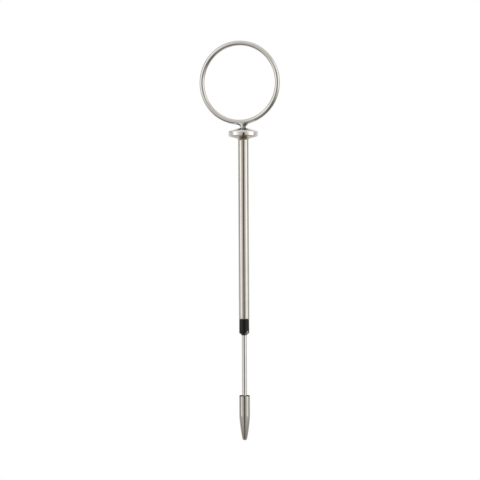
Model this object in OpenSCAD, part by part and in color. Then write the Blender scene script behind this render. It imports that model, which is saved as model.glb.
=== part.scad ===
// Ring-handled loop tool: a finger ring on a rod that slides through a flanged tube.
// The origin is on the tube's axis, where its full diameter starts under the flange's braze.
// +Z runs up the tube towards the ring, and the ring lies in the XZ plane.

/* [Tube] */
// Outside diameter of the tube
tube_d = 5.25; // [4.8:0.05:7]
// Wall of the tube
tube_wall = 0.5; // [0.35:0.05:0.6]
// Length of the tube below the flange's braze
tube_length = 89; // [60:0.5:140]
// Height of the flange above the place where the tube's upper end is turned down
flange_lift = 1.225; // [1:0.025:1.6]
// Depth by which the tube's upper end is turned down to seat in the flange
seat_step = 0.2; // [0.16:0.01:0.25]
// Length of the tube's end inside the flange
seat_depth = 2.8; // [1.5:0.1:4]

/* [Finger flange] */
// Diameter of the flange
flange_d = 14.7; // [11:0.1:22]
// Height of the flange's upright rim
rim_height = 2.45; // [1.5:0.05:4]
// Rise of the upper cone from the rim to the rod
upper_rise = 1.85; // [1.2:0.05:3]
// Rise of the lower cone from the tube to the rim
lower_rise = 1.25; // [0.6:0.05:2.5]
// Radius of the rim's edges
rim_edge = 0.35; // [0.1:0.05:0.5]
// Radius of the braze fillet between the flange and the tube
flange_braze_radius = 1; // [0.6:0.1:1.2]

/* [Guides] */
// Length of the upper guide inside the tube
upper_guide_length = 6; // [4:0.5:10]
// Length of the bush's spigot inside the tube
spigot_length = 8; // [5:0.5:14]
// Diameter of the bush's head where it meets the tube
bush_upper_d = 4.95; // [4.7:0.05:6]
// Diameter of the bush's head at its lower edge
bush_lower_d = 5.05; // [4.7:0.05:6]
// Height of the bush's head above its cone
bush_head_height = 6.85; // [5:0.05:12]
// Diameter at the small end of the bush's cone
bush_end_d = 3; // [2.9:0.05:4]
// Height of the bush's cone
bush_cone_height = 1.2; // [0.6:0.05:2.5]
// Thickness of the wiper ring
wiper_section_d = 0.8; // [0.5:0.05:0.85]
// Depth of the wiper ring's groove below the top of the bush's head
wiper_depth = 3; // [1.5:0.1:4]
// Length of the slide collar
collar_length = 6; // [4:0.5:10]
// Width of the slot that lets the collar snap onto the rod
collar_slot = 1.4; // [1:0.1:1.8]

/* [Push rod] */
// Diameter of the rod
rod_d = 2.5; // [2:0.05:2.6]
// Length of rod seen between the bush and the nose when the plunger is down
rod_reach = 30; // [15:0.5:60]
// Length of rod seen between the flange and the ring
neck_height = 1.55; // [1.4:0.05:4]
// Height by which the rod's end, hollowed to fit, cups the ring's wire
cope_depth = 0.4; // [0.2:0.05:0.8]
// Depth of the collar's groove in the rod
collar_groove_depth = 0.3; // [0.2:0.05:0.4]
// Depth of the rod's lower end inside the nose
nose_bore_depth = 8; // [5:0.5:9.5]

/* [Finger ring] */
// Diameter of the ring's wire
wire_d = 2.5; // [1.8:0.05:3.5]
// Inside diameter of the ring
ring_inner_d = 37.1; // [24:0.1:45]
// Lean of the ring to -X, in degrees
ring_lean = 4.75; // [0:0.25:8]
// Radius of the braze fillet between the ring and the rod
ring_braze_radius = 1.4; // [0.8:0.05:1.4]
// Thickness of the braze over the wire
ring_braze_film = 0.15; // [0.05:0.05:0.4]

/* [Nose] */
// Diameter of the nose
nose_d = 5.35; // [4.5:0.05:7]
// Length of the nose's straight part
nose_straight = 10.35; // [10:0.05:20]
// Length of the nose's taper
nose_taper = 11.2; // [6:0.1:20]
// Diameter where the taper meets the rounded tip
tip_d = 2.4; // [1.2:0.1:3.5]
// Height of the rounded tip
tip_height = 0.95; // [0.5:0.05:2]
// Swell of the taper's outline past a straight cone
taper_belly = 0.2; // [0:0.01:0.4]
// Bevel round the nose's upper edge
nose_bevel = 0.4; // [0.1:0.05:0.6]
// Depth of the countersink that holds the nose's solder
solder_depth = 0.4; // [0.2:0.05:0.7]
// Rise of the solder up the rod
solder_rise = 0.2; // [0.1:0.05:0.4]

/* [Fits] */
// Gap all round between the rod and what guides it
running_gap = 0.05; // [0.02:0.01:0.08]
// Gap all round between the slide collar and the tube
collar_gap = 0.06; // [0.03:0.01:0.09]
// Gap all round between the rod and the flange's hole
flange_hole_gap = 0.15; // [0.1:0.01:0.3]
// Gap at each end of the plunger's travel
stop_gap = 0.1; // [0.05:0.05:0.3]
// Room above and below the wiper ring in its groove
wiper_gap = 0.1; // [0.05:0.01:0.2]

/* [Hidden] */
$fn = 96;
arc_steps = 10;
taper_steps = 12;

// Radii that the pieces share
tube_r = tube_d / 2;
bore_r = tube_r - tube_wall;
seat_r = tube_r - seat_step;
flange_r = flange_d / 2;
rod_r = rod_d / 2;
rod_guide_r = rod_r + running_gap;
flange_hole_r = rod_r + flange_hole_gap;
groove_r = rod_r - collar_groove_depth;
wire_r = wire_d / 2;
nose_r = nose_d / 2;

// The flange: its cones' slopes, then its heights from the tube upwards
lower_slope = atan(lower_rise / (flange_r - tube_r));
upper_slope = atan(upper_rise / (flange_r - flange_hole_r));
under_z = flange_lift;
flange_braze_low_z = under_z - flange_braze_radius / tan((90 + lower_slope) / 2);
seat_under_z = under_z - seat_step * tan(lower_slope);
rim_low_z = under_z + lower_rise;
rim_top_z = rim_low_z + rim_height;
flange_top_z = rim_top_z + upper_rise;
seat_top_z = under_z + seat_depth;

// The tube's lower end and the bush, downwards
tube_end_z = -tube_length;
spigot_top_z = tube_end_z + spigot_length;
bush_edge_z = tube_end_z - bush_head_height;
bush_end_z = bush_edge_z - bush_cone_height;
wiper_z = tube_end_z - wiper_depth;
wiper_centre_r = rod_guide_r + wiper_section_d / 2;
wiper_groove_r = wiper_centre_r + wiper_section_d / 2;
wiper_half = wiper_section_d / 2 + wiper_gap;

// The plunger, at rest in its lowest place
wire_low_z = flange_top_z + neck_height;
rod_top_z = wire_low_z + cope_depth;
nose_top_z = bush_end_z - rod_reach;
nose_low_z = nose_top_z - nose_straight;
rod_end_z = nose_top_z - nose_bore_depth;
collar_low_z = spigot_top_z + stop_gap;
ring_r = ring_inner_d / 2 + wire_r;

// Points along an arc about a centre, from one angle to another
function arc(centre, radius, from, to) =
    [for (i = [0:arc_steps])
        let (a = from + (to - from) * i / arc_steps)
        centre + radius * [cos(a), sin(a)]];

// Height from a sloping face's outer corner to the centre of the rounding that meets it
function edge_height(slope) = rim_edge * (1 - sin(slope)) / cos(slope);

// Radius of the nose's taper at a share t of its length: a straight cone with a belly
function taper_radius(t) = nose_r + (tip_d / 2 - nose_r) * t + taper_belly * 4 * t * (1 - t);

// Turned disc with two shallow cones, a hole for the rod and a seat for the tube
module finger_flange() {
    color("lightgray")
        rotate_extrude()
            polygon(concat(
                [[seat_r, seat_under_z]],
                arc([flange_r - rim_edge, rim_low_z + edge_height(lower_slope)], rim_edge, lower_slope - 90, 0),
                arc([flange_r - rim_edge, rim_top_z - edge_height(upper_slope)], rim_edge, 0, 90 - upper_slope),
                [[flange_hole_r, flange_top_z], [flange_hole_r, seat_top_z], [seat_r, seat_top_z]]));
}

// Thin tube whose upper end is turned down to seat in the flange
module handle_tube() {
    color("silver")
        difference() {
            union() {
                translate([0, 0, tube_end_z]) cylinder(h = tube_length, r = tube_r);
                translate([0, 0, tube_end_z]) cylinder(h = tube_length + seat_top_z, r = seat_r);
            }
            translate([0, 0, tube_end_z - 1]) cylinder(h = tube_length + seat_top_z + 2, r = bore_r);
        }
}

// Braze that fills the step round the tube's turned-down end, and its concave fillet under the flange
module flange_braze() {
    color("peru")
        rotate_extrude()
            polygon(concat(
                [[seat_r, seat_under_z], [seat_r, 0], [tube_r, 0]],
                arc([tube_r + flange_braze_radius, flange_braze_low_z], flange_braze_radius,
                    180, 90 + lower_slope)));
}

// Plastic sleeve in the tube's upper end that guides the rod
module upper_guide() {
    color("dimgray")
        translate([0, 0, seat_top_z - upper_guide_length])
            difference() {
                cylinder(h = upper_guide_length, r = bore_r);
                translate([0, 0, -1]) cylinder(h = upper_guide_length + 2, r = rod_guide_r);
            }
}

// Black bush: a spigot in the tube, a head that widens downwards, a cone and a groove for the wiper ring
module guide_bush() {
    color("black")
        rotate_extrude()
            polygon([
                [rod_guide_r, spigot_top_z], [bore_r, spigot_top_z], [bore_r, tube_end_z],
                [bush_upper_d / 2, tube_end_z], [bush_lower_d / 2, bush_edge_z],
                [bush_end_d / 2, bush_end_z], [rod_guide_r, bush_end_z],
                [rod_guide_r, wiper_z - wiper_half], [wiper_groove_r, wiper_z - wiper_half],
                [wiper_groove_r, wiper_z + wiper_half], [rod_guide_r, wiper_z + wiper_half]]);
}

// Rubber ring in the bush that wipes the rod and grips it lightly
module wiper_ring() {
    color("saddlebrown")
        translate([0, 0, wiper_z])
            rotate_extrude()
                translate([wiper_centre_r, 0]) circle(d = wiper_section_d);
}

// Slotted collar in the rod's groove: it slides in the tube with the rod, which turns inside it
module slide_collar() {
    color("ivory")
        translate([0, 0, collar_low_z])
            difference() {
                cylinder(h = collar_length, r = bore_r - collar_gap);
                translate([0, 0, -1]) cylinder(h = collar_length + 2, r = groove_r + running_gap);
                translate([0, -collar_slot / 2, -1]) cube([tube_r, collar_slot, collar_length + 2]);
            }
}

// Rod from the ring to the nose, with the collar's groove and an upper end that cups the ring's wire
module push_rod() {
    groove_low_z = collar_low_z - running_gap;
    groove_top_z = collar_low_z + collar_length + running_gap;
    color("gainsboro")
        difference() {
            rotate_extrude()
                polygon([
                    [0, rod_end_z], [rod_r, rod_end_z], [rod_r, groove_low_z], [groove_r, groove_low_z],
                    [groove_r, groove_top_z], [rod_r, groove_top_z], [rod_r, rod_top_z], [0, rod_top_z]]);
            ring_wire();
        }
}

// The ring's wire, leaning about its lowest point over the rod
module ring_wire() {
    translate([0, 0, wire_low_z])
        rotate([0, -ring_lean, 0])
            translate([0, 0, ring_r + wire_r])
                rotate([90, 0, 0])
                    rotate_extrude($fn = 360)
                        translate([ring_r, 0]) circle(r = wire_r, $fn = 96);
}

// Round wire bent into a ring, its ends met above the rod
module finger_ring() {
    color("lightgray")
        ring_wire();
}

// Braze that flares from the rod to both sides of the ring and wraps the lower half of its wire
module ring_braze() {
    braze_low_z = wire_low_z - ring_braze_radius;
    braze_top_z = wire_low_z + wire_r;
    foot_r = rod_r + ring_braze_radius;
    half_width = wire_r + ring_braze_film;
    color("darkgray")
        difference() {
            intersection() {
                rotate_extrude()
                    polygon(concat(
                        [[0, braze_low_z]],
                        arc([foot_r, braze_low_z], ring_braze_radius, 180, 90),
                        [[foot_r + wire_r, braze_top_z], [0, braze_top_z]]));
                rotate([90, 0, 90])
                    linear_extrude(height = 2 * flange_d, center = true)
                        union() {
                            translate([0, braze_top_z]) circle(r = half_width);
                            translate([0, braze_low_z]) circle(r = half_width);
                            translate([-half_width, braze_low_z])
                                square([2 * half_width, braze_top_z - braze_low_z]);
                        }
            }
            cylinder(h = rod_top_z, r = rod_r);
            ring_wire();
        }
}

// Bullet-shaped nose with a blind bore for the rod and a countersink for the solder
module nose() {
    color("darkgray")
        rotate_extrude()
            polygon(concat(
                [[rod_r, rod_end_z], [rod_r, nose_top_z - solder_depth], [rod_r + solder_depth, nose_top_z],
                 [nose_r - nose_bevel, nose_top_z], [nose_r, nose_top_z - nose_bevel]],
                [for (i = [0:taper_steps])
                    let (t = i / taper_steps) [taper_radius(t), nose_low_z - nose_taper * t]],
                [for (i = [1:arc_steps])
                    let (a = 90 * i / arc_steps)
                    [tip_d / 2 * cos(a), nose_low_z - nose_taper - tip_height * sin(a)]],
                [[0, rod_end_z]]));
}

// Solder that fills the nose's countersink and rises a little up the rod
module nose_solder() {
    color("gray")
        rotate_extrude()
            polygon(concat(
                [[rod_r, nose_top_z - solder_depth], [rod_r + solder_depth, nose_top_z]],
                arc([rod_r + solder_rise, nose_top_z + solder_rise], solder_rise, 270, 180)));
}

finger_flange();
handle_tube();
flange_braze();
upper_guide();
guide_bush();
wiper_ring();
slide_collar();
push_rod();
finger_ring();
ring_braze();
nose();
nose_solder();
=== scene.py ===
import math

import bpy
import numpy as np
from mathutils import Matrix, Vector
from mathutils.bvhtree import BVHTree


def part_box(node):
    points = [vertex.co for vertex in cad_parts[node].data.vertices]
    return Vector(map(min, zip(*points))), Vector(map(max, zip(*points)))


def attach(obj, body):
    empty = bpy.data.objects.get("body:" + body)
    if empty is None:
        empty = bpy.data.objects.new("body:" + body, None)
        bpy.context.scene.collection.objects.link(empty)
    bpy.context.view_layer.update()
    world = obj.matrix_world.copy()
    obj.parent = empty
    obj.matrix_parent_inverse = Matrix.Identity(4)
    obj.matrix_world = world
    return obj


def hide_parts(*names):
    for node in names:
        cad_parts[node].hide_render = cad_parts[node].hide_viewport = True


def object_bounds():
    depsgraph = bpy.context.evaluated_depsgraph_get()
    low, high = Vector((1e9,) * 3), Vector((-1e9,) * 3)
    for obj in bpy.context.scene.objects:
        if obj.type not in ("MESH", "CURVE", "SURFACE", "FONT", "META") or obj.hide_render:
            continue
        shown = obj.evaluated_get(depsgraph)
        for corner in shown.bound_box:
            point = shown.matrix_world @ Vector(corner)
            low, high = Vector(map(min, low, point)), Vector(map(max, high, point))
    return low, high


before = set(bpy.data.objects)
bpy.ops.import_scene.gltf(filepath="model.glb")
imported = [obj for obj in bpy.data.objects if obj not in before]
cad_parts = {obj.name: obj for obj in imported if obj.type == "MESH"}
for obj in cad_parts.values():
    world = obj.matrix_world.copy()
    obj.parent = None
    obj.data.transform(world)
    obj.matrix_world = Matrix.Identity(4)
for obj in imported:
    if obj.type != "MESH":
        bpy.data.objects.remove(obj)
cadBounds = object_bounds()
mm = 0.001
hair = 0.01  # millimetres, a distance too small to show
print("frame loaded:", len(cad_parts), "nodes")


# Camera: it looks level at the tool from a little to the right of the ring's face
cameraSet = {
    "azimuth": 17.8,       # degrees to the right of the ring's face
    "distance": 2.5,       # metres
    "lens": 375,
    "sensorWidth": 36,
    "aimHeight": -49.4 * mm,
    "aimLeft": 1.88 * mm,  # how far the aim lies to the left of the tube's axis
    "roll": -0.3,          # degrees
    "farEnd": 20,          # metres
}

# Image points, in the photograph's frame
photoSize = (480, 480)
objectEdges = {"left": 199.9, "right": 279.9, "top": 40.2, "bottom": 440.2}
featurePoints = {
    "ringCentre": (239.9, 82.4),
    "flangeLeft": (228.9, 133.6),
    "flangeRight": (258.1, 133.6),
    "brazeBead": (237.6, 124.0),
    # where painted shade lies on the flange's top cone
    "topConeShade": (242.9, 129.0),
    "rimScorch": (243.7, 133.6),
    "heatPatch": (244.1, 136.9),
    "tubeEnd": (243.9, 319.2),
    # where the highlight is painted on the bush's cone, and its fainter tail
    "bushChipHighlight": (247.8, 332.1),
    "bushHighlightTail": (246.3, 334),
    "bushEdge": (244.0, 332.8),
    "noseTop": (245.1, 395.2),
    # where a glint is painted into the nose's black band
    "noseGlint": (245.2, 395.7),
    "noseShoulder": (245.4, 416.0),
}


def makeCamera():
    azimuth = math.radians(cameraSet["azimuth"])
    toCamera = Vector((math.sin(azimuth), -math.cos(azimuth), 0))
    rightward = Vector((math.cos(azimuth), math.sin(azimuth), 0))
    aim = Vector((0, 0, cameraSet["aimHeight"])) - rightward * cameraSet["aimLeft"]
    data = bpy.data.cameras.new("camera")
    data.sensor_fit = "AUTO"
    data.sensor_width = cameraSet["sensorWidth"]
    data.lens = cameraSet["lens"]
    data.clip_end = cameraSet["farEnd"]
    data.dof.use_dof = False
    camera = bpy.data.objects.new("camera", data)
    bpy.context.scene.collection.objects.link(camera)
    turn = toCamera.to_track_quat("Z", "Y").to_matrix().to_4x4()
    roll = Matrix.Rotation(math.radians(cameraSet["roll"]), 4, "Z")
    camera.matrix_world = Matrix.Translation(aim + toCamera * cameraSet["distance"]) @ turn @ roll
    bpy.context.scene.camera = camera
    bpy.context.view_layer.update()
    return camera


camera = makeCamera()


def vertexArray(piece):
    # the mesh's points as an n by 3 array, in metres
    flat = np.empty(len(piece.data.vertices) * 3)
    piece.data.vertices.foreach_get("co", flat)
    return flat.reshape(-1, 3)


def placeOnPiece(piece, imagePoint):
    # follows the ray through an image point to the piece; a miss takes the mesh's point nearest the ray
    width, height = photoSize
    longSide = max(width, height)
    data = camera.data
    x, y = imagePoint
    aim = Vector((x - width / 2 + data.shift_x * longSide, height / 2 - y + data.shift_y * longSide,
                  -longSide * data.lens / data.sensor_width))
    start = camera.matrix_world.translation
    ray = (camera.matrix_world.to_3x3() @ aim).normalized()
    tree = BVHTree.FromObject(piece, bpy.context.evaluated_depsgraph_get())
    hit = tree.ray_cast(start, ray)[0]
    if hit is not None:
        return np.array(hit)
    points = vertexArray(piece)
    gaps = np.linalg.norm(np.cross(points - np.array(start), np.array(ray)), axis=1)
    return points[gaps.argmin()]


placedMarks = {}


def markOn(piece, name):
    placedMarks[name] = placeOnPiece(piece, featurePoints[name])
    return placedMarks[name]


print("camera ready")


# Meshes: grids of points worked out as whole arrays

def gridFaces(rows, columns, closedRows):
    # quads between neighbours of a grid whose columns run round; closedRows joins its last row to its first
    r = np.arange(rows if closedRows else rows - 1)[:, None]
    c = np.arange(columns)[None, :]
    r2, c2 = (r + 1) % rows, (c + 1) % columns
    corners = [r * columns + c, r * columns + c2, r2 * columns + c2, r2 * columns + c]
    return np.stack([np.broadcast_to(k, (r.shape[0], columns)).ravel() for k in corners], axis=1)


def cappedGrid(grid, firstTip, lastTip):
    # closes an open grid with a fan of triangles from one point at each of its ends
    rows, columns = grid.shape[:2]
    points = np.vstack([grid.reshape(-1, 3), [firstTip], [lastTip]])
    here = np.arange(columns)
    there = (here + 1) % columns
    lastRow = (rows - 1) * columns
    first, last = np.full(columns, rows * columns), np.full(columns, rows * columns + 1)
    return points, [gridFaces(rows, columns, False), np.stack([first, there, here], axis=1),
                    np.stack([last, lastRow + here, lastRow + there], axis=1)]


creaseAngle = 35  # degrees between faces, past which an edge stays sharp


def meshObject(name, points, faces):
    # points are rows of x, y, z in metres, faces a list of index arrays with 3 or 4 columns
    mesh = bpy.data.meshes.new(name)
    mesh.from_pydata(points.tolist(), [], sum((f.tolist() for f in faces), []))
    made = bpy.data.objects.new(name, mesh)
    bpy.context.scene.collection.objects.link(made)
    return made


def meshPiece(name, points, faces, body, replaced):
    # as meshObject, but with points in millimetres, smooth faces and outward normals: the sum of each
    # triangle's triple product is six times the volume, and below zero the faces point inwards
    triangles = np.vstack([f[:, :3] for f in faces] + [f[:, [0, 2, 3]] for f in faces if f.shape[1] == 4])
    a, b, c = (points[triangles[:, i]] for i in range(3))
    if np.einsum("ij,ij->i", a, np.cross(b, c)).sum() < 0:
        faces = [f[:, ::-1] for f in faces]
    piece = meshObject(name, points * mm, faces)
    mesh = piece.data
    mesh.polygons.foreach_set("use_smooth", np.ones(len(mesh.polygons), dtype=bool))
    mesh.set_sharp_from_angle(angle=math.radians(creaseAngle))
    mesh.update()
    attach(piece, body)
    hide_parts(replaced)
    return piece


def movePoints(piece, points):
    piece.data.vertices.foreach_set("co", points.ravel())
    piece.data.update()


def bellCurve(points, place, reach):
    # 1 at the place, falling off by e to the minus square of the distance over the reach, in millimetres
    distance = np.linalg.norm(points - place, axis=1) / (reach * mm)
    return np.exp(-distance ** 2)


def roundedOutline(corners, steps=8):
    # each corner is (radius, height, rounding), all in millimetres: a quadratic curve that starts and ends
    # that far from the corner along its two sides, with the corner as its control point
    line = []
    for i, (r, z, rounding) in enumerate(corners):
        here = np.array([r, z], float)
        if rounding <= 0:
            line.append(here[None, :])
            continue
        before = np.array(corners[i - 1][:2], float) - here
        after = np.array(corners[(i + 1) % len(corners)][:2], float) - here
        before, after = before / np.linalg.norm(before), after / np.linalg.norm(after)
        t = np.linspace(0, 1, steps)[:, None]
        line.append((1 - t) ** 2 * (here + before * rounding) + 2 * t * (1 - t) * here
                    + t ** 2 * (here + after * rounding))
    return np.vstack(line)


def finerOutline(outline, longest, closed):
    # splits every side of the outline that is longer than the given length into equal parts
    ends = np.vstack([outline, outline[:1]]) if closed else outline
    parts = []
    for a, b in zip(ends[:-1], ends[1:]):
        cuts = max(1, int(np.ceil(np.linalg.norm(b - a) / longest)))
        parts.append(a + (b - a) * (np.arange(cuts) / cuts)[:, None])
    return np.vstack(parts + ([] if closed else [ends[-1:]]))


def lathe(outline, around, closed, swell=None):
    # turns an outline of (radius, height) about Z; swell(angle, height, radius) may move the radius
    # an open outline starts and ends on the axis, and each of its ends is one shared point
    angle = np.linspace(0, 2 * np.pi, around, endpoint=False)[None, :]
    line = outline if closed else outline[1:-1]
    radius, height = line[:, 0][:, None] + 0 * angle, line[:, 1][:, None] + 0 * angle
    if swell is not None:
        radius = swell(angle, height, radius)
    grid = np.stack([radius * np.cos(angle), radius * np.sin(angle), height], axis=-1)
    if closed:
        return grid.reshape(-1, 3), [gridFaces(len(line), around, True)]
    return cappedGrid(grid, (0, 0, outline[0, 1]), (0, 0, outline[-1, 1]))


def turnedPiece(name, outline, sizes, body, replaced, closed=True, swell=None):
    points, faces = lathe(finerOutline(outline, sizes["longest"], closed), sizes["around"], closed, swell)
    return meshPiece(name, points, faces, body, replaced)


def waves(angle, terms):
    # a sum of sines, each term with its strength, its number of waves in a full turn and its phase
    return sum(strength * np.sin(count * angle + phase) for strength, count, phase in terms)


# Materials

def addNode(tree, kind, **values):
    # each value is a setting of the node, or else the number of one of its inputs
    node = tree.nodes.new(kind)
    for key, value in values.items():
        if hasattr(node, key):
            setattr(node, key, value)
        else:
            node.inputs[key].default_value = value
    return node


def feed(tree, socket, value):
    # a number or a colour is set on the socket, anything else is linked to it
    if isinstance(value, tuple):
        socket.default_value = (*value, 1) if len(value) < len(socket.default_value) else value
    elif isinstance(value, (int, float)):
        socket.default_value = value
    else:
        tree.links.new(value, socket)


def mathNode(tree, operation, first, second=0):
    node = addNode(tree, "ShaderNodeMath", operation=operation)
    feed(tree, node.inputs[0], first)
    feed(tree, node.inputs[1], second)
    return node.outputs[0]


def mapRange(tree, value, low, high, toLow=0, toHigh=1, smooth=False):
    node = addNode(tree, "ShaderNodeMapRange", interpolation_type="SMOOTHSTEP" if smooth else "LINEAR")
    feed(tree, node.inputs["Value"], value)
    for key, number in (("From Min", low), ("From Max", high), ("To Min", toLow), ("To Max", toHigh)):
        feed(tree, node.inputs[key], number)
    return node.outputs["Result"]


def mixColour(tree, share, first, second):
    node = addNode(tree, "ShaderNodeMix", data_type="RGBA")
    for index, value in ((0, share), (6, first), (7, second)):
        feed(tree, node.inputs[index], value)
    return node.outputs[2]


def millimetres(tree, scale=(1, 1, 1), centre=(0, 0, 0), turn=0):
    # object coordinates in millimetres from a centre, turned about Z, then scaled along each axis
    place = addNode(tree, "ShaderNodeTexCoord").outputs["Object"]
    shift = addNode(tree, "ShaderNodeMapping", Scale=(1 / mm,) * 3, Location=tuple(-c for c in centre))
    spin = addNode(tree, "ShaderNodeMapping", Rotation=(0, 0, turn))
    stretch = addNode(tree, "ShaderNodeMapping", Scale=scale)
    for node, source in ((shift, place), (spin, shift.outputs[0]), (stretch, spin.outputs[0])):
        tree.links.new(source, node.inputs["Vector"])
    return stretch.outputs[0]


def inMillimetres(place):
    return tuple(c / mm for c in place)


def axisOf(tree, vector, axis):
    split = addNode(tree, "ShaderNodeSeparateXYZ")
    tree.links.new(vector, split.inputs[0])
    return split.outputs[axis]


def lengthOf(tree, vector):
    node = addNode(tree, "ShaderNodeVectorMath", operation="LENGTH")
    tree.links.new(vector, node.inputs[0])
    return node.outputs["Value"]


def noiseValue(tree, vector, scale, detail=3, roughness=0.55):
    noise = addNode(tree, "ShaderNodeTexNoise", Scale=scale, Detail=detail, Roughness=roughness)
    tree.links.new(vector, noise.inputs["Vector"])
    return noise.outputs["Fac"]


noiseRange = (0.3, 0.7)  # most of a noise texture's values lie between these


def noiseBetween(tree, vector, scale, low, high, **kinds):
    # noise whose usual range is stretched to run from low to high
    return mapRange(tree, noiseValue(tree, vector, scale, **kinds), *noiseRange, low, high)


def facing(place):
    # the turn about Z that brings a place on a round piece straight in front of the axis, along -Y
    return -math.atan2(place[0], -place[1])


spotSet = {"noiseScale": 2.2, "core": 0.3}  # the core is the share of the reach that is fully covered


def spotMask(tree, centre, reach, wobble):
    # 1 at the centre, 0 beyond reach, with an edge that fine noise pushes in and out
    distance = lengthOf(tree, millimetres(tree, centre=centre))
    ragged = noiseBetween(tree, millimetres(tree), spotSet["noiseScale"], -wobble, wobble)
    distance = mathNode(tree, "ADD", distance, ragged)
    return mapRange(tree, distance, spotSet["core"] * reach, reach, 1, 0, smooth=True)


# The torch's mark, which lies over tube, flange and braze
heatSet = {
    "halfWidth": 2.5, "halfHeight": 1.2, "frontDepth": 1.2,
    # how far inside the oval each colour starts and is full, the colour, its roughness
    "stages": [(-0.4, 0.2, (0.66, 0.57, 0.46), 0.16), (0.1, 0.5, (0.6, 0.48, 0.34), 0.24),
               (0.45, 0.9, (0.34, 0.27, 0.19), 0.32)],
    "raggedScale": 1.3, "ragged": (-0.6, 0.5),
    # flecks is the share of the oxide that is left where it has flaked off
    "flecks": 0.25, "fleckScale": 1.7, "fleckRange": (0.44, 0.56),
}
grainDarkens = (0.4, 0.8)  # the values of the grain over which its shade comes in


class Finish:
    # a Principled material whose colour, roughness and relief are built up in layers, then wired by done()
    def __init__(self, name, look):
        self.material = bpy.data.materials.new(name)
        self.material.use_nodes = True
        self.tree = self.material.node_tree
        self.shader = self.tree.nodes["Principled BSDF"]
        self.shader.inputs["Metallic"].default_value = look.get("metallic", 1)
        self.shader.inputs["Specular IOR Level"].default_value = look.get("sheen", 0.5)
        tree = self.tree
        # two tones in soft clouds, then a darker grain stretched along the way the piece was worked
        clouds = noiseBetween(tree, millimetres(tree), look["cloudScale"], 0, 1)
        grain = noiseValue(tree, millimetres(tree, look["grain"]), 1, detail=4, roughness=0.65)
        self.colour = mixColour(tree, clouds, look["colour"], look["second"])
        shade = mapRange(tree, grain, *grainDarkens, 0, look["grainShade"])
        self.colour = mixColour(tree, shade, self.colour, (0, 0, 0))
        smoothest, roughest = look["roughness"]
        rough = mapRange(tree, clouds, 0, 1, smoothest, roughest)
        grainRough = (roughest - smoothest) / 3
        self.rough = mathNode(tree, "ADD", rough, mapRange(tree, grain, *noiseRange, -grainRough, grainRough))
        self.relief = mathNode(tree, "MULTIPLY", grain, look["grainDepth"] * mm)

    def tint(self, mask, colour, roughness=None):
        self.colour = mixColour(self.tree, mask, self.colour, colour)
        if roughness is not None:
            # the roughness moves towards its new value by the mask's share
            kept = mathNode(self.tree, "MULTIPLY", self.rough, mathNode(self.tree, "SUBTRACT", 1, mask))
            self.rough = mathNode(self.tree, "ADD", kept, mathNode(self.tree, "MULTIPLY", mask, roughness))

    def heat(self, place):
        # a torch mark: the further inside its ragged oval, the darker the oxide, from straw through brown
        tree, look = self.tree, heatSet
        centre = inMillimetres(place)
        oval = (1 / look["halfWidth"], 0, 1 / look["halfHeight"])
        distance = lengthOf(tree, millimetres(tree, oval, centre, facing(centre)))
        ragged = noiseBetween(tree, millimetres(tree), look["raggedScale"], *look["ragged"])
        inside = mathNode(tree, "SUBTRACT", 1, mathNode(tree, "ADD", distance, ragged))
        # full on the front of the piece as far back as frontDepth before the axis, and gone at the axis
        front = axisOf(tree, millimetres(tree, turn=facing(centre)), 1)
        front = mapRange(tree, front, -look["frontDepth"], 0, 1, 0, smooth=True)
        flecks = noiseValue(tree, millimetres(tree), look["fleckScale"], detail=2)
        flecks = mapRange(tree, flecks, *look["fleckRange"], look["flecks"], 1)
        front = mathNode(tree, "MULTIPLY", front, flecks)
        for start, full, colour, roughness in look["stages"]:
            mask = mathNode(tree, "MULTIPLY", mapRange(tree, inside, start, full, smooth=True), front)
            self.tint(mask, colour, roughness)

    def done(self, *pieces):
        tree = self.tree
        bump = addNode(tree, "ShaderNodeBump", Strength=1, Distance=1)
        tree.links.new(self.relief, bump.inputs["Height"])
        tree.links.new(bump.outputs["Normal"], self.shader.inputs["Normal"])
        tree.links.new(self.colour, self.shader.inputs["Base Color"])
        tree.links.new(self.rough, self.shader.inputs["Roughness"])
        for piece in pieces:
            piece.data.materials.clear()
            piece.data.materials.append(self.material)


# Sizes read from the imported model, in millimetres
def boxOf(node):
    low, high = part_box(node)
    return np.array(low) / mm, np.array(high) / mm


tubeLow, tubeHigh = boxOf("handle_tube")
flangeLow, flangeHigh = boxOf("finger_flange")
bushLow, bushHigh = boxOf("guide_bush")
rodLow, rodHigh = boxOf("push_rod")
noseLow, noseHigh = boxOf("nose")
solderHigh = boxOf("nose_solder")[1]
ringLow, ringHigh = boxOf("finger_ring")
boreR = boxOf("upper_guide")[1][0]
tubeR, flangeR, bushR = tubeHigh[0], flangeHigh[0], bushHigh[0]
rodR, noseR, wireR = rodHigh[0], noseHigh[0], ringHigh[1]


# Each piece's dictionary has its sizes in millimetres, with around and steps as numbers of points and longest
# as the longest side left in an outline. Then comes its finish: two colours in clouds, a grain with its noise
# scale along each axis, its shade and its depth, the roughness from smoothest to roughest, and the marks

# Tube: drawn steel with a satin grain along it, straw coloured for a little way below the brazed flange
tubeSet = {
    "endRounding": 0.3, "boreRounding": 0.1, "seatStep": 0.2, "around": 96, "longest": 1.5,
    "colour": (0.69, 0.66, 0.615), "second": (0.65, 0.62, 0.58), "cloudScale": 0.22,
    "grain": (7, 7, 0.12), "grainShade": 0.05, "grainDepth": 0.0006, "roughness": (0.11, 0.16),
    "straw": (0.62, 0.53, 0.41), "strawReach": 3, "strawShare": 0.25,
    "strawGrain": (1, 1, 0.5), "strawScale": 0.6, "strawRagged": (0.5, 1),
}
seatR = tubeR - tubeSet["seatStep"]


def makeTube():
    end, bore = tubeSet["endRounding"], tubeSet["boreRounding"]
    outline = roundedOutline([
        (boreR, tubeLow[2], bore), (tubeR, tubeLow[2], end), (tubeR, 0, 0),
        (seatR, 0, 0), (seatR, tubeHigh[2], bore), (boreR, tubeHigh[2], bore)])
    return turnedPiece("handleTube", outline, tubeSet, "barrel", "handle_tube")


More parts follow.
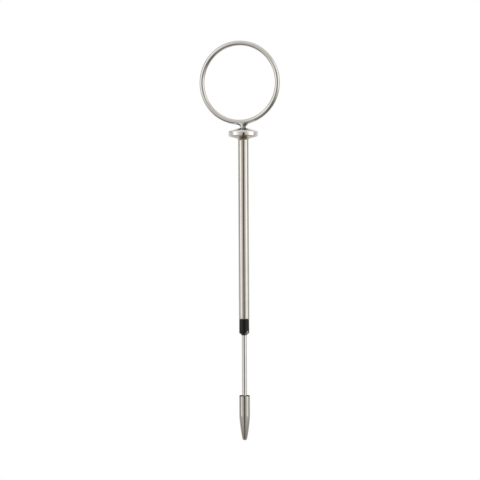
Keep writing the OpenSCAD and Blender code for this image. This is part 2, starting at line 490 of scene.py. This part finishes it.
def finishTube(tube, heatPlace):
    look = tubeSet
    finish = Finish("satin drawn tube", look)
    tree = finish.tree
    # the tint is strongest at the braze and runs out after strawReach
    height = axisOf(tree, millimetres(tree), 2)
    straw = mapRange(tree, height, -look["strawReach"], 0, 0, look["strawShare"], smooth=True)
    grained = millimetres(tree, look["strawGrain"])
    ragged = noiseBetween(tree, grained, look["strawScale"], *look["strawRagged"])
    finish.tint(mathNode(tree, "MULTIPLY", straw, ragged), look["straw"])
    finish.heat(heatPlace)
    finish.done(tube)


# Flange: a disc with an upright rim between two shallow cones, turned and polished
flangeSet = {
    "rimLow": 2.475, "rimTop": 4.925, "lowEdge": 0.6, "topEdge": 0.6, "holeRadius": 1.4, "holeEdge": 0.12,
    "around": 192, "longest": 0.4,
    "colour": (0.92, 0.905, 0.89), "second": (0.88, 0.865, 0.85), "cloudScale": 0.5,
    "grain": (0.7, 0.7, 9), "grainShade": 0.06, "grainDepth": 0.0006, "roughness": (0.26, 0.32),
    "frontDepth": (2, 4),  # how far behind the scorch the marks of the torch start to fade and are gone
    "clouded": 2.8, "cloudedCore": 0.4, "cloudedRoughness": 0.5,
    # a darker colour below the rim: its colour, its roughness, how far above the rim's foot it ends, and over
    # what height it fades
    "darkUnderside": (0.5, 0.48, 0.45), "darkUndersideRoughness": 0.22, "darkUndersideTop": 0.1, "darkUndersideFade": 0.25,
    # painted shade on the top cone beside the neck: its colour, reach, wobble, the rises above the rim where
    # it starts and is full, and its roughness
    "coneShade": (0.17, 0.165, 0.155), "coneShadeReach": 4.2, "coneShadeWobble": 0.5, "coneShadeAbove": (0.4, 0.7),
    "coneShadeRoughness": 0.2,
    "straw": (0.6, 0.53, 0.44), "strawReach": 2.6, "strawWobble": 0.6, "strawShare": 0.35,
    "scorch": (0.04, 0.03, 0.02), "scorchTop": 1.05, "scorchSpread": 0.45, "scorchScale": 3,
    "scorchRagged": (-0.12, 0.12), "scorchEdge": (-0.1, 0.25), "scorchRoughness": 0.3,
}


def makeFlange():
    shape = flangeSet
    outline = roundedOutline([
        (seatR, flangeLow[2], 0), (flangeR, shape["rimLow"], shape["lowEdge"]),
        (flangeR, shape["rimTop"], shape["topEdge"]),
        (shape["holeRadius"], flangeHigh[2], shape["holeEdge"]), (shape["holeRadius"], tubeHigh[2], 0),
        (seatR, tubeHigh[2], 0)])
    return turnedPiece("fingerFlange", outline, shape, "barrel", "finger_flange")


def finishFlange(flange, scorchPlace, coneShadePlace, heatPlace):
    look = flangeSet
    finish = Finish("polished flange steel", look)
    tree = finish.tree
    centre = inMillimetres(scorchPlace)
    height = axisOf(tree, millimetres(tree), 2)
    turned = millimetres(tree, centre=centre, turn=facing(centre))
    sideways = mathNode(tree, "ABSOLUTE", axisOf(tree, turned, 0))
    front = mapRange(tree, axisOf(tree, turned, 1), *look["frontDepth"], 1, 0)
    # the torch clouded the polish on both sides of its mark
    core = look["cloudedCore"] * look["clouded"]
    clouded = mapRange(tree, sideways, core, look["clouded"], 1, 0, smooth=True)
    finish.tint(mathNode(tree, "MULTIPLY", clouded, front), look["colour"], look["cloudedRoughness"])
    # the underside below the rim is darker, and painted shade lies on the top cone beside the rod's hole,
    # under the ring
    darkUndersideTop = look["rimLow"] + look["darkUndersideTop"]
    darkUnderside = mapRange(tree, height, darkUndersideTop, darkUndersideTop - look["darkUndersideFade"], smooth=True)
    finish.tint(darkUnderside, look["darkUnderside"], look["darkUndersideRoughness"])
    # painted shade beside the neck, on the top cone only
    coneShade = spotMask(tree, inMillimetres(coneShadePlace), look["coneShadeReach"], look["coneShadeWobble"])
    above = mapRange(tree, height, *(look["rimTop"] + rise for rise in look["coneShadeAbove"]))
    finish.tint(mathNode(tree, "MULTIPLY", coneShade, above), look["coneShade"], look["coneShadeRoughness"])
    straw = spotMask(tree, centre, look["strawReach"], look["strawWobble"])
    finish.tint(mathNode(tree, "MULTIPLY", straw, look["strawShare"]), look["straw"])
    # the scorch is a tongue: a point on top that widens by scorchSpread for each millimetre down
    below = mathNode(tree, "SUBTRACT", look["scorchTop"], axisOf(tree, turned, 2))
    width = mathNode(tree, "MULTIPLY", below, look["scorchSpread"])
    ragged = noiseBetween(tree, millimetres(tree), look["scorchScale"], *look["scorchRagged"])
    inside = mathNode(tree, "SUBTRACT", mathNode(tree, "ADD", width, ragged), sideways)
    tongue = mathNode(tree, "MULTIPLY", mapRange(tree, inside, *look["scorchEdge"], smooth=True), front)
    finish.tint(tongue, look["scorch"], look["scorchRoughness"])
    finish.heat(heatPlace)
    finish.done(flange)


# Braze under the flange: a band round the tube that ends in a concave fillet, straw coloured by the torch
flangeBrazeSet = {
    "radius": 1, "stepGap": 0.02, "wander": 0.04, "waves": ((1, 3, 0.7), (0.6, 7, 2.1), (0.4, 13, 0)),
    "around": 144, "steps": 16, "longest": 0.25,
    "colour": (0.64, 0.58, 0.5), "second": (0.56, 0.49, 0.4), "cloudScale": 0.8,
    "grain": (3, 3, 3), "grainShade": 0.2, "grainDepth": 0.006, "roughness": (0.15, 0.26),
    "wiped": (0.9, 0.3), "wipedRoughness": 0.13,  # the heights where the wiped part starts and is full
}


def makeFlangeBraze():
    shape = flangeBrazeSet
    radius = shape["radius"]
    slope = math.atan2(flangeSet["rimLow"] - flangeLow[2], flangeR - seatR)
    # the arc's middle: its distance from the tube's wall and from the cone above is the same
    coneLow = flangeLow[2] + (tubeR - seatR) * math.tan(slope)
    middleZ = coneLow + radius * math.tan(slope) - radius / math.cos(slope)
    turn = np.linspace(np.pi, np.pi / 2 + slope, shape["steps"])
    arc = np.stack([tubeR + radius + radius * np.cos(turn), middleZ + radius * np.sin(turn)], axis=1)
    outline = np.vstack([[[seatR, flangeLow[2]], [seatR, shape["stepGap"]], [tubeR, shape["stepGap"]]], arc])

    def swell(angle, height, r):
        # three slow waves round the joint, strongest in the middle of the fillet
        middle = np.sin(np.pi * np.clip((height - middleZ) / radius, 0, 1)) * (r > tubeR - hair)
        return r + shape["wander"] * waves(angle, shape["waves"]) * middle

    return turnedPiece("flangeBraze", outline, shape, "barrel", "flange_braze", swell=swell)


def finishFlangeBraze(braze, heatPlace):
    look = flangeBrazeSet
    finish = Finish("heat tinted braze", look)
    # wiped clean towards the tube, where it has the tube's own colour
    height = axisOf(finish.tree, millimetres(finish.tree), 2)
    wiped = mapRange(finish.tree, height, *look["wiped"], smooth=True)
    finish.tint(wiped, tubeSet["colour"], look["wipedRoughness"])
    finish.heat(heatPlace)
    finish.done(braze)


# Bush: black plastic pushed into the tube, with a cone at its lower end that is chipped at one corner, where
# a highlight is painted on
bushSet = {
    "headTop": 2.475, "edgeDrop": 6.85, "coneDrop": 0.95, "endRadius": 1.38, "bore": 1.3,
    "topEdge": 0.15, "edge": 0.1, "coneEdge": 0.12, "boreEdge": 0.1, "spigotEdge": 0.2,
    "chipReach": 0.75, "chipDepth": 0.16, "boreWall": 0.1, "around": 128, "longest": 0.25,
    "metallic": 0, "colour": (0.004, 0.004, 0.0037), "second": (0.006, 0.006, 0.0055), "cloudScale": 0.8,
    "grain": (5, 5, 1.5), "grainShade": 0.2, "grainDepth": 0.0005, "roughness": (0.28, 0.34), "sheen": 0.3,
    # a painted highlight on the cone's corner: its colour, reach, wobble, roughness, and the share of its
    # tail
    "cornerHighlight": (0.42, 0.41, 0.4), "cornerHighlightReach": 0.85, "cornerHighlightWobble": 0.25, "cornerHighlightRoughness": 0.35,
    "highlightTailShare": 0.7,
}


def makeBush():
    shape = bushSet
    top = tubeLow[2]
    edge = top - shape["edgeDrop"]
    outline = roundedOutline([
        (shape["bore"], bushHigh[2], shape["boreEdge"]), (boreR, bushHigh[2], shape["spigotEdge"]),
        (boreR, top, 0), (shape["headTop"], top, shape["topEdge"]), (bushR, edge, shape["edge"]),
        (shape["endRadius"], edge - shape["coneDrop"], shape["coneEdge"]),
        (shape["endRadius"], bushLow[2], 0), (shape["bore"], bushLow[2], 0)])
    return turnedPiece("guideBush", outline, shape, "barrel", "guide_bush")


def wearBush(bush, chipHighlightPlace):
    # a shallow chip: points near the scuff move towards the axis by a bell curve of their distance from it
    shape = bushSet
    points = vertexArray(bush)
    across = np.linalg.norm(points[:, :2], axis=1)
    outside = across > (shape["bore"] + shape["boreWall"]) * mm
    depth = shape["chipDepth"] * mm * bellCurve(points, chipHighlightPlace, shape["chipReach"]) * outside
    points[:, :2] *= (1 - depth / across)[:, None]
    movePoints(bush, points)


def finishBush(bush, chipHighlightPlace, highlightTailPlace):
    look = bushSet
    finish = Finish("black bush plastic", look)
    # painted highlight: a light spot on the cone's chipped corner and a fainter one below it
    for place, share in ((chipHighlightPlace, 1), (highlightTailPlace, look["highlightTailShare"])):
        spot = spotMask(finish.tree, inMillimetres(place), look["cornerHighlightReach"], look["cornerHighlightWobble"])
        finish.tint(mathNode(finish.tree, "MULTIPLY", spot, share), look["cornerHighlight"], look["cornerHighlightRoughness"])
    finish.done(bush)


# Rod: bright drawn wire with a groove for the sliding collar
rodSet = {
    "grooveDepth": 0.3, "grooveLow": -81.0, "grooveTop": -74.85, "endRounding": 0.1, "around": 64,
    "longest": 1.5,
    "colour": (0.74, 0.725, 0.695), "second": (0.7, 0.685, 0.66), "cloudScale": 0.35,
    "grain": (8, 8, 0.15), "grainShade": 0.05, "grainDepth": 0.0005, "roughness": (0.07, 0.12),
}


def makeRod():
    low, top, end = rodSet["grooveLow"], rodSet["grooveTop"], rodSet["endRounding"]
    grooveR = rodR - rodSet["grooveDepth"]
    outline = roundedOutline([
        (0, rodLow[2], 0), (rodR, rodLow[2], end), (rodR, low, 0), (grooveR, low, 0), (grooveR, top, 0),
        (rodR, top, 0), (rodR, rodHigh[2], end), (0, rodHigh[2], 0)])
    return turnedPiece("pushRod", outline, rodSet, "plunger", "push_rod", closed=False)


# Nose: a cylinder, a taper with a slight belly and a rounded tip; a black band is painted round its top edge
noseSet = {
    "straight": 10.35, "taper": 11.2, "tipRadius": 1.2, "belly": 0.2, "bevel": 0.4, "bevelTopEdge": 0.12,
    "bevelLowEdge": 0.2, "boreRadius": 1.25, "boreDepth": 8, "countersink": 0.4, "countersinkEdge": 0.05,
    "solderFilm": 0.1, "taperSteps": 48, "tipSteps": 24, "around": 128, "longest": 0.4,
    "colour": (0.575, 0.555, 0.505), "second": (0.535, 0.515, 0.47), "cloudScale": 0.4,
    "grain": (0.5, 0.5, 8), "grainShade": 0.09, "grainDepth": 0.0009, "roughness": (0.13, 0.19),
    "brown": (0.62, 0.535, 0.47), "brownShare": 0.6, "brownDrop": 1,  # from this far below the shoulder
    "black": (0.014, 0.014, 0.012), "blackDrop": 0.6, "blackFade": 0.2, "blackScale": 1.6,
    "blackRagged": (-0.1, 0.1), "blackRoughness": 0.35, "glintReach": 0.55, "glintWobble": 0.2,
}


def makeNose():
    shape = noseSet
    shoulder = noseHigh[2] - shape["straight"]
    # a thin film of solder covers the top
    top = noseHigh[2] + shape["solderFilm"]
    t = np.linspace(0, 1, shape["taperSteps"])
    # a straight cone plus a parabola that is highest halfway
    taper = np.stack([noseR + (shape["tipRadius"] - noseR) * t + shape["belly"] * 4 * t * (1 - t),
                      shoulder - shape["taper"] * t], axis=1)
    # the tip is a quarter ellipse down to the axis
    tipTop = shoulder - shape["taper"]
    turn = np.linspace(0, np.pi / 2, shape["tipSteps"])[1:]
    tip = np.stack([shape["tipRadius"] * np.cos(turn), tipTop + (noseLow[2] - tipTop) * np.sin(turn)], axis=1)
    tip[-1, 0] = 0
    boreLow = noseHigh[2] - shape["boreDepth"]
    mouth = roundedOutline([
        (shape["boreRadius"], boreLow, 0), (shape["boreRadius"], top - shape["countersink"], 0),
        (shape["boreRadius"] + shape["countersink"], top, shape["countersinkEdge"]),
        (noseR - shape["bevel"], top, shape["bevelTopEdge"]),
        (noseR, top - shape["bevel"], shape["bevelLowEdge"]), (noseR, shoulder + hair, 0)])
    outline = np.vstack([[[0, boreLow]], mouth, taper, tip])
    return turnedPiece("noseTip", outline, shape, "plunger", "nose", closed=False)


def finishNose(nose, glintPlace):
    look = noseSet
    finish = Finish("turned nose steel", look)
    tree = finish.tree
    height = axisOf(tree, millimetres(tree), 2)
    brownTop = float(noseHigh[2]) - look["straight"] - look["brownDrop"]
    down = mapRange(tree, height, brownTop, float(noseLow[2]), 0, look["brownShare"], smooth=True)
    finish.tint(down, look["brown"])
    # a black band painted round the top edge, with a ragged lower edge
    ragged = noiseBetween(tree, millimetres(tree), look["blackScale"], *look["blackRagged"])
    edge = mathNode(tree, "ADD", height, ragged)
    drop = float(noseHigh[2]) - look["blackDrop"]
    blackBand = mapRange(tree, edge, drop, drop + look["blackFade"], smooth=True)
    # painted glint: the black band leaves off at one spot on the front
    glint = spotMask(tree, inMillimetres(glintPlace), look["glintReach"], look["glintWobble"])
    blackBand = mathNode(tree, "MULTIPLY", blackBand, mathNode(tree, "SUBTRACT", 1, glint))
    finish.tint(blackBand, look["black"], look["blackRoughness"])
    finish.done(nose)


# Solder where the rod enters the nose: a hollow quarter-round fillet between the rod and the nose's top
noseSolderSet = {"steps": 10, "around": 64, "longest": 1}


def makeNoseSolder():
    top, inner, wide = noseHigh[2], noseSet["boreRadius"], noseSet["countersink"]
    rise = solderHigh[2] - top
    turn = np.linspace(-np.pi / 2, -np.pi, noseSolderSet["steps"])
    arc = np.stack([inner + rise + rise * np.cos(turn), top + rise + rise * np.sin(turn)], axis=1)
    outline = np.vstack([[[inner, top - wide], [inner + wide, top]], arc])
    return turnedPiece("noseSolder", outline, noseSolderSet, "plunger", "nose_solder")


# Ring: a round wire carried round a circle that leans about its lowest point
ringSet = {
    "lean": 4.75, "neck": 1.55, "around": 360, "wireSteps": 48,
    "waver": 0.012, "waves": ((0.5, 5, 1), (0.5, 3, 2.2)),
    "colour": (0.775, 0.75, 0.715), "second": (0.735, 0.71, 0.68), "cloudScale": 0.3,
    "grain": (2.5, 2.5, 2.5), "grainShade": 0.08, "grainDepth": 0.0012, "roughness": (0.07, 0.12),
}
ringR = (ringHigh[2] - ringLow[2]) / 2 - wireR
ringLowest = flangeHigh[2] + ringSet["neck"]
lean = math.radians(ringSet["lean"])
ringCentre = np.array([-(ringR + wireR) * math.sin(lean), 0, ringLowest + (ringR + wireR) * math.cos(lean)])


def ringPoint(along, aroundWire, wire):
    # along is the angle round the ring from its lowest point, aroundWire the angle round the wire from its
    # outer side: a circle of the wire's radius in the plane through the ring's centre and the wire
    out = np.stack([np.sin(along - lean), 0 * along, -np.cos(along - lean)], axis=-1)
    reach = (ringR + wire * np.cos(aroundWire))[..., None]
    return ringCentre + out * reach + np.array([0, 1, 0]) * (wire * np.sin(aroundWire))[..., None]


def makeRing():
    along = np.linspace(0, 2 * np.pi, ringSet["around"], endpoint=False)[:, None]
    wireAngle = np.linspace(0, 2 * np.pi, ringSet["wireSteps"], endpoint=False)[None, :]
    along, wireAngle = along + 0 * wireAngle, wireAngle + 0 * along
    # the hand-bent wire's thickness wavers by two slow waves
    thin = ringSet["waver"] * (1 - waves(along, ringSet["waves"]))
    points = ringPoint(along, wireAngle, wireR - thin).reshape(-1, 3)
    faces = [gridFaces(ringSet["around"], ringSet["wireSteps"], True)]
    return meshPiece("fingerRing", points, faces, "plunger", "finger_ring")


# Braze between the ring and the rod: a skin from a circle on the rod to a loop on the wire, concave between
# its finish is the nose solder's too, and its painted side shade lies on the rod as well
ringBrazeSet = {
    "leftReach": 3.5, "rightReach": 4.3, "waves": ((0.05, 2, 0.8), (0.03, 5, 0)), "wrap": 1.45,
    "drop": 1.25, "film": 0.03, "leftFill": 0.3, "rightFill": 0.62, "around": 120, "steps": 28,
    "bead": 0.16, "beadReach": 0.45,
    "colour": (0.86, 0.85, 0.82), "second": (0.76, 0.75, 0.72), "cloudScale": 0.9,
    "grain": (1.6, 1.6, 1.6), "grainShade": 0.15, "grainDepth": 0.015, "roughness": (0.24, 0.32),
    # painted shade on the neck's sides: its colour, share, roughness, and the values of aside where it starts
    # and is full
    "sideShade": (0.17, 0.16, 0.15), "sideShadeShare": 0.95, "sideShadeRoughness": 0.25, "sideShadeAside": (0.4, 0.7),
    # how far below the flange's top the painted side shade starts and is full, and above the ring's lowest
    # point the same
    "sideShadeUnder": (0.4, 0.1), "sideShadeOver": (0.9, 0.3),
}


def makeRingBraze():
    shape = ringBrazeSet
    angle = np.linspace(0, 2 * np.pi, shape["around"], endpoint=False)[None, :]
    t = np.linspace(0, 1, shape["steps"])[:, None, None]
    sideways, across = np.cos(angle), np.sin(angle)
    # lower edge: a circle just outside the rod
    footR = rodR + shape["film"]
    low = np.stack([footR * sideways, footR * across, ringLowest - shape["drop"] + 0 * angle], axis=-1)
    # upper edge: along the wire by the cosine of the angle, round the wire by its sine
    reach = np.where(sideways < 0, shape["leftReach"], shape["rightReach"])
    along = lean + reach * sideways * (1 + waves(angle, shape["waves"])) / ringR
    high = ringPoint(along, shape["wrap"] * across, wireR - hair + 0 * along)
    # control points stand in the corner above the lower edge, moved towards the straight line by the fill
    corner = np.concatenate([low[..., :2], high[..., 2:]], axis=-1)
    fill = np.where(sideways < 0, shape["leftFill"], shape["rightFill"])[..., None]
    middle = corner + fill * ((low + high) / 2 - corner)
    skin = (1 - t) ** 2 * low + 2 * t * (1 - t) * middle + t ** 2 * high
    points, faces = cappedGrid(skin, (0, 0, ringLowest - shape["drop"]), (0, 0, ringLowest + wireR))
    braze = meshPiece("ringBraze", points, faces, "plunger", "ring_braze")
    # aside is 0 on the front and back of the neck and 1 on its two sides
    aside = np.append(np.abs(sideways + 0 * t[..., 0]).ravel(), (0, 0))
    braze.data.attributes.new("aside", "FLOAT", "POINT").data.foreach_set("value", aside)
    return braze


def addBead(braze, beadPlace):
    # a frozen drop: points near the bead's place move down by a bell curve of their distance from it
    shape = ringBrazeSet
    points = vertexArray(braze)
    points[:, 2] -= shape["bead"] * mm * bellCurve(points, beadPlace, shape["beadReach"])
    movePoints(braze, points)


def addSideShade(finish, aside):
    # painted shade on the two sides of the neck, between the flange and the ring; above the flange only
    tree, look = finish.tree, ringBrazeSet
    aside = mapRange(tree, aside, *look["sideShadeAside"], smooth=True)
    height = axisOf(tree, millimetres(tree), 2)
    above = mapRange(tree, height, *(float(flangeHigh[2]) - drop for drop in look["sideShadeUnder"]))
    below = mapRange(tree, height, *(ringLowest + rise for rise in look["sideShadeOver"]), smooth=True)
    share = mathNode(tree, "MULTIPLY", mathNode(tree, "MULTIPLY", above, below), look["sideShadeShare"])
    finish.tint(mathNode(tree, "MULTIPLY", aside, share), look["sideShade"], look["sideShadeRoughness"])


def finishSilver(braze, solder):
    finish = Finish("silver braze", ringBrazeSet)
    addSideShade(finish, addNode(finish.tree, "ShaderNodeAttribute", attribute_name="aside").outputs["Fac"])
    finish.done(braze, solder)


def finishRod(rod):
    finish = Finish("bright drawn rod", rodSet)
    normal = addNode(finish.tree, "ShaderNodeTexCoord").outputs["Normal"]
    # painted shade on the rod's two sides, between the flange and the ring
    addSideShade(finish, mathNode(finish.tree, "ABSOLUTE", axisOf(finish.tree, normal, 0)))
    finish.done(rod)


# Inner pieces keep their CAD meshes; their finishes are the bush's apart from what is named here
guideSet = dict(bushSet, colour=(0.03, 0.03, 0.03), second=(0.05, 0.05, 0.048), roughness=(0.3, 0.42))
collarSet = dict(bushSet, colour=(0.72, 0.7, 0.62), second=(0.66, 0.63, 0.55), grainShade=0.06,
                 roughness=(0.35, 0.45))
wiperSet = dict(bushSet, colour=(0.02, 0.018, 0.016), second=(0.035, 0.03, 0.028), roughness=(0.5, 0.65))

tube = makeTube()
flange = makeFlange()
flangeBraze = makeFlangeBraze()
bush = makeBush()
rod = makeRod()
nose = makeNose()
noseSolder = makeNoseSolder()
ring = makeRing()
ringBraze = makeRingBraze()
scorchPlace = markOn(flange, "rimScorch")
topConeShadePlace = markOn(flange, "topConeShade")
heatPlace = markOn(flange, "heatPatch")
chipHighlightPlace = markOn(bush, "bushChipHighlight")
highlightTailPlace = markOn(bush, "bushHighlightTail")
beadPlace = markOn(ringBraze, "brazeBead")
wearBush(bush, chipHighlightPlace)
addBead(ringBraze, beadPlace)
print("pieces made")

finishTube(tube, heatPlace)
finishFlange(flange, scorchPlace, topConeShadePlace, heatPlace)
finishFlangeBraze(flangeBraze, heatPlace)
finishBush(bush, chipHighlightPlace, highlightTailPlace)
finishNose(nose, markOn(nose, "noseGlint"))
finishRod(rod)
Finish("polished ring wire", ringSet).done(ring)
finishSilver(ringBraze, noseSolder)
Finish("upper guide plastic", guideSet).done(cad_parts["upper_guide"])
Finish("natural collar plastic", collarSet).done(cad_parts["slide_collar"])
Finish("wiper rubber", wiperSet).done(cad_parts["wiper_ring"])
print("finishes made")


# Light tent: an unseen shell that only reflections see, one plain level with soft-edged parts on it
# each part lies a number of degrees from the camera (positive to its right) and above the horizon, reaches
# half its width and height to each side, and fades over its soft edge; 1 is white
tent = {
    "radius": 1.6, "rows": 48, "around": 96, "tint": (1, 0.985, 0.96), "cloth": 0.6,
    "parts": {
        "backdrop": {"at": (180, 0), "half": (50, 35), "soft": (20, 20), "level": 0.7},
        "backdropFoot": {"at": (180, -45), "half": (50, 15), "soft": (20, 15), "level": 0.75},
        "ceiling": {"at": (0, 80), "half": (180, 25), "soft": (20, 20), "level": 0.8},
        "table": {"at": (0, -75), "half": (110, 40), "soft": (15, 20), "level": 0.2},
        "leftSoftbox": {"at": (-72, 16), "half": (5, 18), "soft": (35, 16), "level": 1.4},
        "rightSoftbox": {"at": (68, 16), "half": (5, 18), "soft": (35, 16), "level": 1.5},
        "leftFrame": {"at": (-96, 0), "half": (4, 20), "soft": (10, 15), "level": 0.3},
        "rightFrame": {"at": (100, 0), "half": (4, 20), "soft": (10, 15), "level": 0.35},
        "doorway": {"at": (-145, 25), "half": (15, 8), "soft": (15, 15), "level": 0.25},
        "cameraSlit": {"at": (-0.5, -8), "half": (6, 18), "soft": (9, 12), "level": 0},
    },
}


def makeTent():
    tilt = np.linspace(-np.pi / 2, np.pi / 2, tent["rows"])
    outline = np.stack([np.cos(tilt), np.sin(tilt)], axis=1) * tent["radius"]
    shell = meshObject("lightTent", *lathe(outline, tent["around"], False))
    material = bpy.data.materials.new("tent cloth")
    material.use_nodes = True
    tree = material.node_tree
    tree.nodes.clear()
    place = addNode(tree, "ShaderNodeTexCoord")
    outwards = addNode(tree, "ShaderNodeVectorMath", operation="NORMALIZE")
    tree.links.new(place.outputs["Object"], outwards.inputs[0])
    level = tent["cloth"]
    for part in tent["parts"].values():
        azimuth, rise = part["at"]
        # turned so that the part lies straight ahead along -Y; its angles are then measured from there
        turn = addNode(tree, "ShaderNodeMapping", vector_type="NORMAL")
        turn.inputs["Rotation"].default_value = (0, 0, math.radians(-cameraSet["azimuth"] - azimuth))
        tree.links.new(outwards.outputs["Vector"], turn.inputs["Vector"])
        axes = addNode(tree, "ShaderNodeSeparateXYZ")
        tree.links.new(turn.outputs["Vector"], axes.inputs["Vector"])
        ahead = mathNode(tree, "MULTIPLY", axes.outputs["Y"], -1)
        across = mathNode(tree, "ARCTAN2", axes.outputs["X"], ahead)
        height = mathNode(tree, "ARCSINE", axes.outputs["Z"])
        height = mathNode(tree, "SUBTRACT", height, math.radians(rise))
        mask = 1
        for angle, half, soft in zip((across, height), part["half"], part["soft"]):
            away = mathNode(tree, "ABSOLUTE", angle)
            near = mapRange(tree, away, math.radians(half), math.radians(half + soft), 1, 0, smooth=True)
            mask = mathNode(tree, "MULTIPLY", mask, near)
        # the level moves towards the part's own level by the mask's share
        kept = mathNode(tree, "MULTIPLY", level, mathNode(tree, "SUBTRACT", 1, mask))
        level = mathNode(tree, "ADD", kept, mathNode(tree, "MULTIPLY", mask, part["level"]))
    glow = addNode(tree, "ShaderNodeEmission")
    glow.inputs["Color"].default_value = (*tent["tint"], 1)
    tree.links.new(level, glow.inputs["Strength"])
    output = addNode(tree, "ShaderNodeOutputMaterial")
    tree.links.new(glow.outputs["Emission"], output.inputs["Surface"])
    shell.data.materials.append(material)
    for kind in ("camera", "diffuse", "transmission", "volume_scatter", "shadow"):
        setattr(shell, "visible_" + kind, False)


# Floor: a pale disc well below the tool, out of the main view, that fades into the white background
floorSet = {
    "drop": 0.07, "radius": 0.55, "around": 96, "colour": (0.86, 0.86, 0.86), "roughness": 0.9, "sheen": 0.1,
    "fadeFrom": 0.3,  # the share of the radius where it starts to fade
}


def makeFloor():
    low = cadBounds[0][2] - floorSet["drop"]
    radius, around = floorSet["radius"], floorSet["around"]
    angle = np.linspace(0, 2 * np.pi, around, endpoint=False)
    rim = np.stack([np.cos(angle), np.sin(angle), 0 * angle], axis=1) * radius
    here = np.arange(around)
    faces = np.stack([np.full(around, around), here, (here + 1) % around], axis=1)
    floor = meshObject("floor", np.vstack([rim + (0, 0, low), [[0, 0, low]]]), [faces])
    material = bpy.data.materials.new("pale floor")
    material.use_nodes = True
    tree = material.node_tree
    shader = tree.nodes["Principled BSDF"]
    shader.inputs["Base Color"].default_value = (*floorSet["colour"], 1)
    shader.inputs["Roughness"].default_value = floorSet["roughness"]
    shader.inputs["Specular IOR Level"].default_value = floorSet["sheen"]
    # the distance from the axis, in millimetres
    distance = lengthOf(tree, millimetres(tree, (1, 1, 0)))
    radius = radius / mm
    fade = mapRange(tree, distance, floorSet["fadeFrom"] * radius, radius, smooth=True)
    clear = addNode(tree, "ShaderNodeBsdfTransparent")
    mix = addNode(tree, "ShaderNodeMixShader")
    tree.links.new(fade, mix.inputs[0])
    tree.links.new(shader.outputs[0], mix.inputs[1])
    tree.links.new(clear.outputs[0], mix.inputs[2])
    tree.links.new(mix.outputs[0], tree.nodes["Material Output"].inputs["Surface"])
    floor.data.materials.append(material)
    floor.visible_glossy = False


# World: white where a ray from the camera or a mirror ends, dimmer as the light it gives
worldSet = {"seen": 1, "fill": 0.7}


def makeWorld():
    world = bpy.data.worlds.new("studio")
    bpy.context.scene.world = world
    world.use_nodes = True
    tree = world.node_tree
    tree.nodes.clear()
    path = addNode(tree, "ShaderNodeLightPath")
    seen = mathNode(tree, "MAXIMUM", path.outputs["Is Camera Ray"], path.outputs["Is Glossy Ray"])
    seen = mathNode(tree, "MAXIMUM", seen, path.outputs["Is Transmission Ray"])
    white = addNode(tree, "ShaderNodeBackground", Strength=worldSet["seen"])
    fill = addNode(tree, "ShaderNodeBackground", Strength=worldSet["fill"])
    for node in (white, fill):
        node.inputs["Color"].default_value = (1, 1, 1, 1)
    mix = addNode(tree, "ShaderNodeMixShader")
    output = addNode(tree, "ShaderNodeOutputWorld")
    tree.links.new(seen, mix.inputs[0])
    tree.links.new(fill.outputs[0], mix.inputs[1])
    tree.links.new(white.outputs[0], mix.inputs[2])
    tree.links.new(mix.outputs[0], output.inputs["Surface"])


# Lamps: two panels a metre away on both sides of the camera, degrees from it, that no mirror shows
lampSet = {
    "azimuths": {"leftPanel": -70, "rightPanel": 70}, "watts": 1.6, "height": 0.25, "size": (0.5, 0.9),
}


def makeLamps():
    for name, azimuth in lampSet["azimuths"].items():
        data = bpy.data.lights.new(name, "AREA")
        data.shape = "RECTANGLE"
        data.size, data.size_y = lampSet["size"]
        data.energy = lampSet["watts"]
        turn = math.radians(cameraSet["azimuth"] + azimuth)
        place = Vector((math.sin(turn), -math.cos(turn), lampSet["height"]))
        light = bpy.data.objects.new(name, data)
        light.matrix_world = Matrix.Translation(place) @ place.to_track_quat("Z", "Y").to_matrix().to_4x4()
        light.visible_glossy = False
        light.visible_camera = False
        bpy.context.scene.collection.objects.link(light)


makeTent()
makeFloor()
makeWorld()
makeLamps()
bpy.context.scene.view_settings.view_transform = "Standard"
print("stage ready")


# Where things show in the picture
def showsAt(points):
    # pinhole projection of an n by 3 array into the photograph's pixels, y downwards
    width, height = photoSize
    longSide = max(width, height)
    data = camera.data
    local = np.c_[points, np.ones(len(points))] @ np.array(camera.matrix_world.inverted()).T
    focal = longSide * data.lens / data.sensor_width
    x = width / 2 + local[:, 0] / -local[:, 2] * focal - data.shift_x * longSide
    y = height / 2 - local[:, 1] / -local[:, 2] * focal + data.shift_y * longSide
    return np.stack([x, y], axis=1)


def writePoints():
    shown = {p.name: showsAt(vertexArray(p)) for p in (tube, flange, bush, rod, nose, ring, flangeBraze)}
    everything = np.vstack(list(shown.values()))
    found = {"left": everything[:, 0].min(), "right": everything[:, 0].max(),
             "top": everything[:, 1].min(), "bottom": everything[:, 1].max()}
    report = {name: round(float(found[name] - value), 2) for name, value in objectEdges.items()}
    rimMiddle = (flangeSet["rimLow"] + flangeSet["rimTop"]) / 2
    onAxis = {
        "tubeEnd": tubeLow[2], "bushEdge": tubeLow[2] - bushSet["edgeDrop"],
        "noseTop": noseHigh[2], "noseShoulder": noseHigh[2] - noseSet["straight"],
    }
    places = {name: showsAt(np.array([[0, 0, z * mm]]))[0] for name, z in onAxis.items()}
    ringMiddle = showsAt(ringCentre[None, :] * mm)[0]
    places["ringCentre"] = ringMiddle
    rim = shown["fingerFlange"]
    middleY = showsAt(np.array([[0, 0, rimMiddle * mm]]))[0][1]
    places["flangeLeft"] = (rim[:, 0].min(), middleY)
    places["flangeRight"] = (rim[:, 0].max(), middleY)
    places.update({name: showsAt(np.array([place]))[0] for name, place in placedMarks.items()})
    for name, (x, y) in places.items():
        px, py = featurePoints[name]
        report[name] = [round(float(x - px), 2), round(float(y - py), 2)]
    print("points", report)


writePoints()
